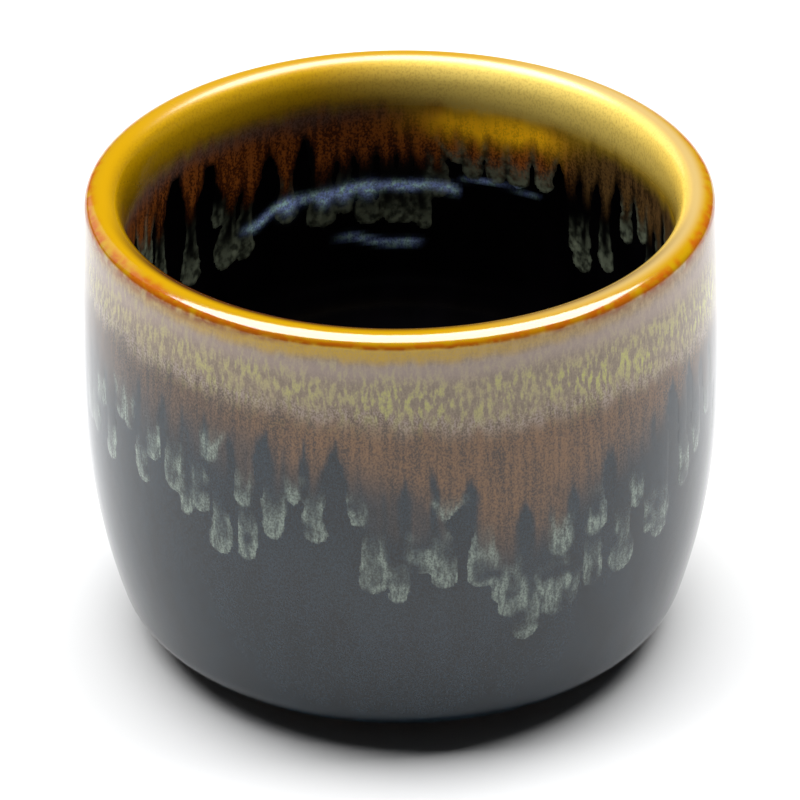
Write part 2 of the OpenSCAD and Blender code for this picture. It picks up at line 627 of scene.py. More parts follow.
@dataclass(frozen=True)
class OuterFlow(Flow):
    """Running coat outside.

    Attributes:
        lilac_depth: Depth of the lilac band's lower border.
        fleck_depth: Depth of the flecks in it.
        violet_depth: Depth of its violet tint.
        tan_fade: Depths between which the tan band ends.
        tan_turn: Turn at which the tan band is strongest.
        cluster_turn: Turn at which the drops are palest.
    """

    lilac_depth: float = 8.5
    fleck_depth: float = 5.9
    violet_depth: float = 3.1
    tan_fade: Point = (1.7, 2.8)
    tan_turn: float = -8.0
    cluster_turn: float = 20.0

    def fields(self, turn: np.ndarray, depth: np.ndarray) -> Fields:
        """Work out where each colour of the outside lies.

        Args:
            turn: Turns of the points.
            depth: Depths of the points.

        Returns:
            Fields of the outer glazes.
        """
        shape, part, right = self.shape(turn, depth), self.parting.at(turn), wave(turn)
        ragged = Ripple(5, 220, 2.5).at(turn, depth)
        broad = Ripple(6, 40, 4.0).at(turn, depth)
        patchy = held(0.8 + 0.5 * Ripple(9, 60, 2.0).at(turn, depth))
        torn = held(0.6 + 0.8 * Ripple(10, 170, 1.3).at(turn, depth))
        speck = Ripple(15, 230, 0.6).at(turn, depth) + 0.6 * Ripple(16, 60, 0.9).at(turn, depth)
        left, aside = ease(0.15, 0.8, -right), ease(0.15, 0.8, np.abs(right))
        # Painted shade for the sides seen edge-on, which darkens lilac and drops there.
        edge_on_shade = ease(0.85, 1.0, np.abs(right))
        border = self.lilac_depth + 1.5 * right + 0.6 * ragged + 0.3 * broad
        lilac = 1.0 - ease(border - 2.4, border + 2.0, depth)
        brown = ease(-0.05, 0.6, shape["inside"]) * (1.0 - ease(part - 3.5, part + 4.0, depth + 1.5 * broad))
        thin = (1.0 - 0.5 * left) * (1.0 - 0.2 * ease(0.4, 0.85, right))
        fleck = bell(self.fleck_depth + 1.2 * right, 2.3, depth + 0.5 * ragged)
        drops = torn * (0.9 * shape["rim"] + 0.35 * shape["drop"] + 0.4 * shape["tip"])
        # Drops are painted darker at the sides seen edge-on.
        drops = drops * (1.0 + 0.4 * bell(self.cluster_turn, 22.0, wrapped(turn))) * (1.0 - 0.6 * edge_on_shade)
        tan = 1.0 - ease(*self.tan_fade, depth + 0.25 * ragged)
        line = depth + 0.1 * ragged
        edge = held(1.0 - aside * (0.15 - 1.1 * speck)) * ease(0.5 - 0.35 * aside, 0.84 - 0.34 * aside, line)
        return {
            # Lilac is painted darker at the sides seen edge-on.
            "lilac": lilac * (1.0 - (0.27 + 0.08 * right) * edge_on_shade),
            "brown": brown * (1.0 - self.cleft(turn, depth)) * thin,
            "fleck": fleck * (0.8 + 0.2 * right) * patchy,
            "bloom": bell(border - 0.3, 0.8, depth),
            "violet": bell(self.violet_depth, 1.0, depth + 0.3 * broad),
            "pale": held(drops),
            "tan": tan * (0.12 + 0.88 * bell(self.tan_turn, 40.0, wrapped(turn))),
            "rust_line": edge * (1.0 - ease(0.9 + 0.25 * left, 1.2 + aside, line)),
        }


@dataclass(frozen=True)
class InnerFlow(Flow):
    """Running coat inside.

    Attributes:
        gold_depth: Depth of the gold band's lower border on the left.
        cream_sheen_depth: Depth to which its cream tint reaches.
        amber_turn: Turn at which the amber below it is strongest.
        amber_depth: Depth of the amber.
        mauve_depth: Depth of the mauve line.
        upper_glint: Depth of the upper row of blue pools.
        lower_glint: Depth of the lower row.
        thread: Depth of the thin blue line on their right.
        upper_glint: Depth of the upper row of painted blue reflections, where rows of drops end.
        lower_glint: Depth of the lower row.
        thread: Depth of the thin painted reflection line on their right.
        glint_spots: Turns of the round painted glints in the upper row.
    """

    gold_depth: float = 5.0
    cream_sheen_depth: float = 3.6
    amber_turn: float = 159.0
    amber_depth: float = 6.3
    mauve_depth: float = 5.5
    upper_glint: float = 14.9
    lower_glint: float = 20.6
    thread: float = 13.4
    glint_spots: tuple[float, ...] = (187.0, 192.0, 196.5, 205.0)

    def fields(self, turn: np.ndarray, depth: np.ndarray) -> Fields:
        """Work out where each colour of the inside lies.

        Args:
            turn: Turns of the points.
            depth: Depths of the points.

        Returns:
            Fields of the inner glazes.
        """
        shape, part = self.shape(turn, depth), self.parting.at(turn)
        ragged = Ripple(7, 200, 2.5).at(turn, depth)
        broad = Ripple(8, 36, 4.0).at(turn, depth)
        right, around = ease(-0.4, 0.4, wave(turn)), turn % 360.0
        border = self.gold_depth + right + 0.4 * ragged + 0.3 * broad
        # Cream tint and painted light reach deeper at the back and on the right.
        deep = self.cream_sheen_depth + 2.0 * bell(163.0, 26.0, around) + 1.4 * bell(118.0, 26.0, around)
        cream_and_sheen = right * (1.0 - 0.6 * bell(80.0, 45.0, around))
        rust = ease(-0.1, 0.9, shape["inside"]) * (1.0 - ease(part - 1.5, part + 2.5, depth + broad))
        amber = bell(self.amber_turn, 13.0, around) * bell(self.amber_depth, 1.75, depth + 0.6 * ragged)
        return {
            "gold": 1.0 - ease(border - 1.6, border + 1.0, depth),
            # Cream tint with painted light: paler gold on the right and just below the lip at the back.
            "cream_and_sheen": cream_and_sheen * (1.0 - ease(-1.6, 1.2, depth - deep)),
            "amber": held(2.0 * amber),
            "mauve": (1.0 - right) * bell(self.mauve_depth, 1.2, depth + 0.4 * ragged),
            "rust": rust * (1.0 - self.cleft(turn, depth)) * (1.0 - 0.4 * bell(250.0, 35.0, around)),
            "dull": 1.0 - between((135.0, 152.0), (290.0, 320.0), around),
            # Painted shade: the inner wall on the left takes the darker lip colour.
            "side": between((215.0, 265.0), (290.0, 350.0), around),
            # Painted reflections of the light: blue glints where rows of drops end.
            "glint": self.painted_reflections(around, depth),
            "bead": held(0.5 * shape["rim"] + 0.6 * shape["tip"] ** 2),
        }

    def painted_reflections(self, around: np.ndarray, depth: np.ndarray) -> np.ndarray:
        """Paint the blue reflections of the light along the rows in which drops end.

        Args:
            around: Turns of the points, from 0 to 360 degrees.
            depth: Depths of the points.

        Returns:
            The strength of the blue.
        """
        uneven = Ripple(13, 150, 50.0).at(around, depth)
        waver = 0.22 * Ripple(14, 110, 50.0).at(around, depth)
        upper = self.upper_glint - 0.9 * bell(181.0, 16.0, around) + 1.8 * ease(206.0, 216.0, around) + waver
        lower = self.lower_glint - 0.9 * ease(182.0, 192.0, around) + waver
        thread = self.thread - 0.4 * bell(161.0, 7.0, around) + 0.5 * waver
        reach = between((166.0, 169.0), (212.0, 218.0), around)
        strength = reach * bell(0.0, 0.46, depth - upper - 0.12 * uneven) * (1.0 + 0.45 * uneven)
        for middle in self.glint_spots:
            strength = strength + bell(middle, 1.5, around) * bell(0.0, 0.8, depth - upper - 0.35)
        reach = between((174.0, 178.0), (188.0, 196.0), around)
        strength = strength + 0.6 * reach * bell(0.0, 0.36, depth - lower) * (0.8 + 0.2 * uneven)
        reach = between((147.0, 151.0), (166.0, 168.0), around)
        strength = strength + 0.5 * reach * bell(0.0, 0.16, depth - thread) * (0.7 + 0.3 * uneven)
        return held(strength)


@dataclass(frozen=True)
class Shades:
    """Node helper for one material.

    Attributes:
        material: Material whose nodes are made.
    """

    material: bpy.types.Material

    @classmethod
    def named(cls, name: str) -> "Shades":
        """Make a new material and its helper.

        Args:
            name: Name of the material.

        Returns:
            The helper.
        """
        material = bpy.data.materials.new(name)
        material.use_nodes = True
        return cls(material)

    @property
    def shader(self) -> bpy.types.Node:
        """Shader of the material."""
        return self.material.node_tree.nodes["Principled BSDF"]

    def node(self, kind: str) -> bpy.types.Node:
        """Add a node of one kind."""
        return self.material.node_tree.nodes.new(kind)

    def feed(self, target: Socket, source: Socket | Colour | float) -> None:
        """Link a socket to another one, or set it to a colour or a number.

        Args:
            target: Socket that is fed.
            source: What it is fed with.
        """
        if isinstance(source, Socket):
            self.material.node_tree.links.new(source, target)
        else:
            target.default_value = (*source, 1.0) if isinstance(source, tuple) else source

    def field(self, name: str) -> Socket:
        """Read a field that the piece stores.

        Args:
            name: Name of the field.

        Returns:
            Its values.
        """
        node = self.node("ShaderNodeAttribute")
        node.attribute_name = name
        return node.outputs["Fac"]

    def noise(self, cell: Cell, detail: float = 2.0, seed: float = 0.0) -> Socket:
        """Make noise on the object's own coordinates.

        Args:
            cell: Size of its cells along X, Y and Z.
            detail: Octaves of finer noise.
            seed: Offset that makes it another noise.

        Returns:
            A socket with values round 0.5.
        """
        scale = self.node("ShaderNodeMapping")
        scale.inputs["Scale"].default_value = tuple(1.0 / (size * MM) for size in cell)
        scale.inputs["Location"].default_value = (seed, seed * 1.7, seed * 2.3)
        node = self.node("ShaderNodeTexNoise")
        node.inputs["Scale"].default_value = 1.0
        node.inputs["Detail"].default_value = detail
        self.feed(scale.inputs["Vector"], self.node("ShaderNodeTexCoord").outputs["Object"])
        self.feed(node.inputs["Vector"], scale.outputs["Vector"])
        return node.outputs["Fac"]

    def grain(self, cell: float = 0.16, seed: float = 4.0) -> Socket:
        """Make the fine grain that all the glazes have."""
        return self.span(self.noise((cell, cell, cell * 1.3), seed=seed), 0.32, 0.68)

    def span(self, value: Socket, low: float, high: float, start: float = 0.0, end: float = 1.0) -> Socket:
        """Map a range of values smoothly to another one.

        Args:
            value: Value to map.
            low: Value that gives start.
            high: Value that gives end.
            start: Result at low and below.
            end: Result at high and above.

        Returns:
            The mapped value.
        """
        node = self.node("ShaderNodeMapRange")
        node.interpolation_type = "SMOOTHSTEP"
        for name, number in zip(("From Min", "From Max", "To Min", "To Max"), (low, high, start, end)):
            node.inputs[name].default_value = number
        self.feed(node.inputs["Value"], value)
        return node.outputs["Result"]

    def combine(self, way: str, one: Socket, other: Socket | float) -> Socket:
        """Work out one value from two.

        Args:
            way: Operation of the node.
            one: First value.
            other: Second value, or a number.

        Returns:
            The result, held between 0 and 1.
        """
        node = self.node("ShaderNodeMath")
        node.operation = way
        node.use_clamp = True
        self.feed(node.inputs[0], one)
        self.feed(node.inputs[1], other)
        return node.outputs["Value"]

    def times(self, one: Socket, other: Socket | float) -> Socket:
        """Multiply two values."""
        return self.combine("MULTIPLY", one, other)

    def part(self, name: str, other: Socket | float) -> Socket:
        """Multiply a field that the piece stores by a value."""
        return self.times(self.field(name), other)

    def mix(self, one: Socket, other: Socket, share: float) -> Socket:
        """Add a share of one value to the rest of another."""
        return self.combine("ADD", self.times(one, share), self.times(other, 1.0 - share))

    def blend(self, share: Socket, one: Socket | Colour, other: Socket | Colour) -> Socket:
        """Blend two colours.

        Args:
            share: Share of the other colour.
            one: Colour at 0.
            other: Colour at 1.

        Returns:
            The blended colour.
        """
        node = self.node("ShaderNodeMix")
        node.data_type = "RGBA"
        self.feed(node.inputs["Factor"], share)
        self.feed(node.inputs[MIX_ONE], one)
        self.feed(node.inputs[MIX_OTHER], other)
        return node.outputs[MIX_RESULT]

    def surface(self, colour: Socket, roughness: float, bump: Socket, height: float) -> None:
        """Finish the material as a plain coated surface.

        Args:
            colour: Colour of the surface.
            roughness: Roughness of its gloss.
            bump: Value that gives the fine relief.
            height: Height of that relief.
        """
        shader = self.shader
        relief = self.node("ShaderNodeBump")
        relief.inputs["Strength"].default_value = 1.0
        relief.inputs["Distance"].default_value = height * MM
        shader.inputs["Roughness"].default_value = roughness
        shader.inputs["IOR"].default_value = 1.5
        self.feed(shader.inputs["Base Color"], colour)
        self.feed(relief.inputs["Height"], bump)
        self.feed(shader.inputs["Normal"], relief.outputs["Normal"])


@dataclass(frozen=True)
class CupColours:
    """Colours of the glazes and the clay.

    Attributes:
        slate: Dark glaze outside.
        gap: Bluish dark between the runs.
        brown: Runs where they are thin.
        brown_light: Lighter streaks in them.
        lilac: Pale glaze below the lip.
        lilac_dark: Darker streaks in it.
        violet: Its tint just below the lip.
        bloom: Palest edge of it.
        fleck: Yellow-green flecks in it.
        pale: Rims of the drops outside.
        tan: Band below the lip.
        lip: Lip, also laid on the inner wall on the left as painted shade.
        butter_and_sheen: Lip on the right, paler on its inner half: part glaze tint, part painted reflection
            of the light.
        umber: Inner edge of the lip in front.
        orange: Line where the glaze is thin on the edge of the lip.
        gold: Inside below the lip.
        cream_and_sheen: Paler gold, part glaze tint and part painted light, on the right and below the lip
            at the back.
        olive: Gold where it ends.
        amber: Band below it.
        mauve: Line where gold meets rust on the left.
        rust: Runs inside.
        rust_light: Lighter streaks in them.
        dull: Runs inside on the right.
        dull_light: Lighter streaks in them.
        black: Dark glaze inside.
        black_light: Lighter clouds in it.
        bead: Drops inside.
        glint: Painted blue reflections of the light inside, where rows of drops end.
        glint_light: Paler painted highlights in them.
        clay: Bare clay.
        clay_dark: Darker patches of it.
    """

    slate: Colour = (0.013, 0.026, 0.039)
    gap: Colour = (0.0, 0.0005, 0.001)
    brown: Colour = (0.040, 0.022, 0.014)
    brown_light: Colour = (0.185, 0.094, 0.038)
    lilac: Colour = (0.27, 0.205, 0.137)
    lilac_dark: Colour = (0.132, 0.100, 0.070)
    violet: Colour = (0.25, 0.19, 0.165)
    bloom: Colour = (0.25, 0.20, 0.175)
    fleck: Colour = (0.33, 0.335, 0.075)
    pale: Colour = (0.205, 0.25, 0.21)
    tan: Colour = (0.36, 0.215, 0.004)
    lip: Colour = (0.165, 0.09, 0.0)
    # Part glaze tint, part painted reflection of the light.
    butter_and_sheen: Colour = (0.175, 0.122, 0.042)
    umber: Colour = (0.02, 0.004, 0.0)
    orange: Colour = (0.155, 0.037, 0.0005)
    gold: Colour = (0.28, 0.16, 0.001)
    # Part glaze tint, part painted light.
    cream_and_sheen: Colour = (0.56, 0.42, 0.10)
    olive: Colour = (0.26, 0.165, 0.012)
    amber: Colour = (1.0, 0.52, 0.008)
    mauve: Colour = (0.10, 0.056, 0.042)
    rust: Colour = (0.095, 0.023, 0.004)
    rust_light: Colour = (0.27, 0.075, 0.012)
    dull: Colour = (0.022, 0.011, 0.004)
    dull_light: Colour = (0.11, 0.058, 0.018)
    black: Colour = (0.0005, 0.0004, 0.0006)
    black_light: Colour = (0.001, 0.0008, 0.0012)
    bead: Colour = (0.13, 0.15, 0.105)
    # Painted reflections of the light inside.
    glint: Colour = (0.36, 0.5, 1.0)
    glint_light: Colour = (0.6, 0.95, 1.0)
    clay: Colour = (0.30, 0.16, 0.09)
    clay_dark: Colour = (0.15, 0.075, 0.045)


COLOURS = CupColours()


@dataclass(frozen=True)
class Finish:
    """Finish of a piece. Its kinds differ in colour, and the values given here suit a glossy glaze.

    Attributes:
        name: Name of the material.
        roughness: Roughness of the gloss.
        ripple: Height of the fine unevenness.
        gloss: Strength of the gloss, 0.5 for plain glass.
    """

    name: str
    roughness: float = 0.13
    ripple: float = 0.012
    gloss: float = 0.5

    def colour(self, shades: Shades) -> Socket:
        """Give the colour of the finish."""
        raise NotImplementedError

    def bump(self, shades: Shades) -> Socket:
        """Give the pattern of the fine unevenness."""
        return shades.noise((1.6, 1.6, 2.4), 1.0)

    def smooth(self, shades: Shades) -> None:
        """Vary the gloss over the piece, where a finish does so."""

    def paint(self, piece: Piece) -> None:
        """Give a piece this finish.

        Args:
            piece: Piece to paint.
        """
        shades = Shades.named(self.name)
        shades.surface(self.colour(shades), self.roughness, self.bump(shades), self.ripple)
        self.smooth(shades)
        shades.shader.inputs["Specular IOR Level"].default_value = self.gloss
        piece.data.materials.clear()
        piece.data.materials.append(shades.material)


@dataclass(frozen=True)
class ClayFinish(Finish):
    """Bare fired stoneware."""

    roughness: float = 0.85
    ripple: float = 0.12

    def bump(self, shades: Shades) -> Socket:
        """Give the grit of the clay."""
        return shades.noise((0.35, 0.35, 0.35), 4.0)

    def colour(self, shades: Shades) -> Socket:
        """Give the patchy colour of the clay.

        Args:
            shades: Node helper of the material.

        Returns:
            The colour of the clay.
        """
        patch = shades.span(shades.noise((3.0, 3.0, 3.0), 3.0, 3.0), 0.3, 0.7)
        share = shades.times(patch, shades.span(self.bump(shades), 0.3, 0.7, 0.4, 1.0))
        return shades.blend(share, COLOURS.clay_dark, COLOURS.clay)


@dataclass(frozen=True)
class SlateFinish(Finish):
    """Dark iron glaze outside."""

    def colour(self, shades: Shades) -> Socket:
        """Give the slightly cloudy colour of the glaze."""
        cloud = shades.span(shades.noise((3.0, 3.0, 9.0), 3.0), 0.3, 0.7)
        return shades.blend(shades.mix(cloud, shades.grain(), 0.25), COLOURS.gap, COLOURS.slate)


@dataclass(frozen=True)
class InnerFinish(Finish):
    """Glaze inside, over which painted blue reflections of the light lie."""

    @staticmethod
    def grain(shades: Shades) -> Socket:
        """Make the grain of the inside, which is coarser than outside."""
        return shades.grain(0.2, 5.0)

    def painted_reflections(self, shades: Shades, layer: Socket) -> Socket:
        """Lay the painted blue reflections over what is below them.

        Args:
            shades: Node helper of the material.
            layer: Colour below.

        Returns:
            The colour with the painted reflections.
        """
        # Painted highlights: paler spots in the painted reflections.
        spots = shades.span(shades.noise((0.8, 0.8, 0.8), seed=8.0), 0.42, 0.68)
        blue = shades.blend(spots, COLOURS.glint, COLOURS.glint_light)
        share = shades.part("glint", shades.span(self.grain(shades), 0.0, 0.8, 0.55, 1.0))
        return shades.blend(share, layer, blue)


@dataclass(frozen=True)
class BlackFinish(InnerFinish):
    """Dark iron glaze inside."""

    def colour(self, shades: Shades) -> Socket:
        """Give the colour of the glaze."""
        cloud = shades.span(shades.noise((4.0, 4.0, 8.0), 3.0), 0.3, 0.7)
        # The painted blue reflections lie on the dark glaze too.
        return self.painted_reflections(shades, shades.blend(cloud, COLOURS.black, COLOURS.black_light))


@dataclass(frozen=True)
class RunFinish(Finish):
    """Running glaze outside: lilac, then brown, then dark with pale drops."""

    def colour(self, shades: Shades) -> Socket:
        """Lay the colours of the outside over one another.

        Args:
            shades: Node helper of the material.

        Returns:
            The colour of the outside.
        """
        grain = shades.grain()
        streak = shades.span(shades.noise((0.45, 0.45, 6.0)), 0.28, 0.72)
        long_fleck = shades.noise((0.42, 0.42, 1.15), seed=9.0)
        mixed = shades.mix(streak, grain, 0.4)
        brown = shades.blend(mixed, COLOURS.brown, COLOURS.brown_light)
        share = shades.part("brown", shades.span(mixed, 0.1, 0.6, 0.7, 1.0))
        layer = shades.blend(share, SlateFinish(self.name).colour(shades), brown)
        broken = shades.span(shades.noise((0.35, 0.35, 1.3), seed=11.0), 0.3, 0.62, 0.3, 1.0)
        pale = shades.part("pale", shades.times(broken, shades.span(grain, 0.0, 1.0, 0.45, 1.0)))
        layer = shades.blend(pale, layer, COLOURS.pale)
        tint = shades.mix(shades.span(long_fleck, 0.34, 0.66), grain, 0.6)
        lilac = shades.blend(tint, COLOURS.lilac_dark, COLOURS.lilac)
        lilac = shades.blend(shades.part("violet", 0.7), lilac, COLOURS.violet)
        layer = shades.blend(shades.field("lilac"), layer, lilac)
        bloom = shades.part("bloom", shades.span(mixed, 0.3, 0.8, 0.0, 0.7))
        layer = shades.blend(bloom, layer, COLOURS.bloom)
        fleck = shades.part("fleck", shades.span(long_fleck, 0.43, 0.64))
        fleck = shades.times(fleck, shades.span(grain, 0.0, 1.0, 0.5, 1.0))
        layer = shades.blend(fleck, layer, COLOURS.fleck)
        tan = shades.part("tan", shades.span(grain, 0.0, 1.0, 0.75, 1.0))
        return shades.blend(tan, layer, COLOURS.tan)


@dataclass(frozen=True)
class InnerRunFinish(InnerFinish):
    """Running glaze inside: gold, then rust, then black with pale drops."""

    def colour(self, shades: Shades) -> Socket:
        """Lay the colours of the inside over one another.

        Args:
            shades: Node helper of the material.

        Returns:
            The colour of the inside.
        """
        grain = self.grain(shades)
        streak = shades.span(shades.noise((0.6, 0.6, 5.0), seed=2.0), 0.25, 0.75)
        mixed = shades.mix(streak, grain, 0.5)
        rust = shades.blend(shades.span(mixed, 0.3, 0.8), COLOURS.rust, COLOURS.rust_light)
        dull = shades.blend(mixed, COLOURS.dull, COLOURS.dull_light)
        rust = shades.blend(shades.field("dull"), rust, dull)
        share = shades.part("rust", shades.span(mixed, 0.2, 0.6, 0.5, 1.0))
        layer = shades.blend(share, COLOURS.black, rust)
        broken = shades.span(shades.noise((0.7, 0.7, 0.8), seed=6.0), 0.3, 0.65, 0.15, 1.0)
        layer = shades.blend(shades.part("bead", broken), layer, COLOURS.bead)
        amber = shades.part("amber", shades.span(mixed, 0.1, 0.6, 0.7, 1.0))
        layer = shades.blend(amber, layer, COLOURS.amber)
        mauve = shades.part("mauve", shades.span(grain, 0.0, 1.0, 0.4, 1.0))
        # Mauve line, then the painted blue reflections over everything below the gold.
        layer = self.painted_reflections(shades, shades.blend(mauve, layer, COLOURS.mauve))
        # Painted shade: gold turns to the darker lip colour on the left inner wall.
        gold = shades.blend(shades.field("side"), COLOURS.gold, COLOURS.lip)
        # Cream tint with painted light, paler on the right and at the back.
        gold = shades.blend(shades.field("cream_and_sheen"), gold, COLOURS.cream_and_sheen)
        gold = shades.blend(shades.span(shades.field("gold"), 0.35, 0.9), COLOURS.olive, gold)
        return shades.blend(shades.part("gold", shades.span(grain, 0.0, 0.6, 0.8, 1.0)), layer, gold)


@dataclass(frozen=True)
class LipFinish(Finish):
    """Amber glaze of the lip, which takes on the colours of both sides further down.

    Attributes:
        far_roughness: Roughness of the gloss at the back, where the photograph shows it blurred.
    """

    far_roughness: float = 0.3

    def colour(self, shades: Shades) -> Socket:
        """Lay the amber between the colours of both sides.

        Args:
            shades: Node helper of the material.

        Returns:
            The colour of the lip.
        """
        outside = RunFinish(self.name).colour(shades)
        inside = InnerRunFinish(self.name).colour(shades)
        layer = shades.blend(shades.field("inner_side"), outside, inside)
        # Paler lip on the right: part tint, part painted reflection.
        lip = shades.blend(shades.field("butter_and_sheen"), COLOURS.lip, COLOURS.butter_and_sheen)
        layer = shades.blend(shades.field("crest"), layer, lip)
        layer = shades.blend(shades.field("dusk"), layer, COLOURS.umber)
        mottle = shades.span(shades.noise((0.8, 0.8, 0.5), 3.0, 7.0), 0.32, 0.56, 0.55, 1.0)
        return shades.blend(shades.part("rust_line", mottle), layer, COLOURS.orange)

    def smooth(self, shades: Shades) -> None:
        """Soften the gloss towards the back."""
        soft = shades.span(shades.field("far"), 0.0, 1.0, self.roughness, self.far_roughness)
        shades.feed(shades.shader.inputs["Roughness"], soft)


@dataclass
class CupPiece:
    """One piece of the cup.

    Attributes:
        section: Section of the cup.
        node: CAD node that it stands for.
        slot: Material slot meant for it; not used.
        finish: Finish that it is painted with.
    """

    section: CupSection
    node: Node
    slot: Slot
    finish: Finish

    @property
    def name(self) -> str:
        """Name of the piece in the scene."""
        return f"cup_{self.node.value}"

    def build(self) -> Piece:
        """Model the piece."""
        raise NotImplementedError

    def fields(self, piece: Piece) -> Fields:
        """Work out the fields that its finish reads, if it reads any."""
        return {}

    def dress(self, piece: Piece) -> None:
        """Store the fields of the piece on its vertices and paint it.

        Args:
            piece: Piece as it was built.
        """
        for name, values in self.fields(piece).items():
            layer = piece.data.attributes.new(name, "FLOAT", "POINT")
            layer.data.foreach_set("value", np.ascontiguousarray(values, np.float32))
        self.finish.paint(piece)

    def place(self) -> Piece:
        """Model and dress the piece and tie it to the frame.

        Returns:
            The finished piece.
        """
        piece = self.build()
        self.dress(piece)
        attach(piece, "root")
        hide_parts(self.node.value)
        LOG.info("%s: %d vertices, %d faces", piece.name, len(piece.data.vertices), len(piece.data.polygons))
        return piece


@dataclass
class ClayBody(CupPiece):
    """Stoneware bowl with its trimmed foot ring.

    Attributes:
        lathe: Lathe that it is turned on.
        row: Height of a row of faces.
        lip_steps: Number of steps of each arc of the lip.
        corner_steps: Number of steps of the bottom corner.
        well_steps: Number of steps of each arc of the inside.
    """

    lathe: Lathe = Lathe(288)
    row: float = 1.0
    lip_steps: int = 5
    corner_steps: int = 8
    well_steps: int = 12

    def build(self) -> Piece:
        """Turn the bowl and its foot in one profile.

        Returns:
            The piece.
        """
        cup, inset = self.section, self.section.coat_t
        lip, base = cup.lip_line(inset, self.lip_steps), cup.base_line(inset, self.corner_steps)
        under_z = cup.foot_h + inset
        foot_in = cup.foot_r - cup.foot_w
        foot = [
            (cup.foot_r, under_z),
            (cup.foot_r, cup.foot_bevel),
            (cup.foot_r - cup.foot_bevel, 0.0),
            (foot_in + cup.foot_bevel, 0.0),
            (foot_in, cup.foot_bevel),
            (foot_in, under_z),
            (foot_in / 2.0, under_z),
            (0.0, under_z),
        ]
        outer_ends = (cup.cup_h - lip[0][1], cup.cup_h - base[0][1])
        inner_ends = (cup.cup_h - lip[-1][1], cup.cup_h - cup.well_z)
        outer = cup.wall_line(Side.OUTER, inset, outer_ends, self.row)
        inner = cup.wall_line(Side.INNER, inset, inner_ends, self.row)
        well = cup.well_line(inset, self.well_steps)
        profile = foot[::-1] + base[::-1] + outer[::-1][1:] + lip[1:] + inner[1:] + well[1:]
        return self.lathe.turn(self.name, profile)


@dataclass
class ShellCoat(CupPiece):
    """Even coat that is turned as a closed shell.

    Attributes:
        lathe: Lathe that it is turned on.
        row: Height of a row of faces.
        back_row: Height of a row on its hidden back.
        steps: Number of steps of each of its arcs.
        back_steps: Number of steps of each arc on its back.
        to_axis: Whether it reaches the axis, where the shell closes without an edge.
    """

    lathe: Lathe = Lathe(384)
    row: float = 0.6
    back_row: float = 2.0
    steps: int = 14
    back_steps: int = 14
    to_axis: bool = False

    @property
    def sunk(self) -> float:
        """How far its face lies below the finished surface."""
        return self.section.film_t

    def line(self, inset: float, row: float, steps: int) -> Profile:
        """Follow the coat along its face or its back.

        Args:
            inset: How far the line lies below the finished surface.
            row: Height of a row of faces.
            steps: Number of steps of each arc.

        Returns:
            Points of radius and height.
        """
        raise NotImplementedError

    def build(self) -> Piece:
        """Turn face and back in one profile.

        Returns:
            The piece.
        """
        face = self.line(self.sunk, self.row, self.steps)
        back = self.line(self.section.coat_t, self.back_row, self.back_steps)
        profile = back[::-1] + face if self.to_axis else face + back[::-1] + face[:1]
        return self.lathe.turn(self.name, profile)


@dataclass
class OuterDarkCoat(ShellCoat):
    """Dark glaze outside, down round the corner and short of the foot."""

    def line(self, inset: float, row: float, steps: int) -> Profile:
        """Follow the coat from the lip band to the foot.

        Args:
            inset: How far the line lies below the finished surface.
            row: Height of a row of faces.
            steps: Number of steps of each arc.

        Returns:
            Points of radius and height.
        """
        cup, corner = self.section, self.section.base_line(inset, steps)
        wall = cup.wall_line(Side.OUTER, inset, (cup.band_out, cup.cup_h - corner[0][1]), row)
        return wall + corner[1:] + [(cup.foot_r + cup.foot_bare, cup.foot_h + inset)]


@dataclass(kw_only=True)
class InnerDarkCoat(ShellCoat):
    """Dark glaze inside.

    Attributes:
        flow: Runs over it, whose painted reflections show on it too.
    """

    flow: Flow
    row: float = 0.5
    steps: int = 20
    back_steps: int = 12
    to_axis: bool = True

    def line(self, inset: float, row: float, steps: int) -> Profile:
        """Follow the coat from the lip band to the axis.

        Args:
            inset: How far the line lies below the finished surface.
            row: Height of a row of faces.
            steps: Number of steps of each arc.

        Returns:
            Points of radius and height.
        """
        cup = self.section
        wall = cup.wall_line(Side.INNER, inset, (cup.band_in, cup.cup_h - cup.well_z), row)
        return wall + cup.well_line(inset, steps)[1:]

    def fields(self, piece: Piece) -> Fields:
        """Work out the fields of the inside."""
        turn, depth, _ = unrolled(piece, self.section)
        return self.flow.fields(turn, depth)


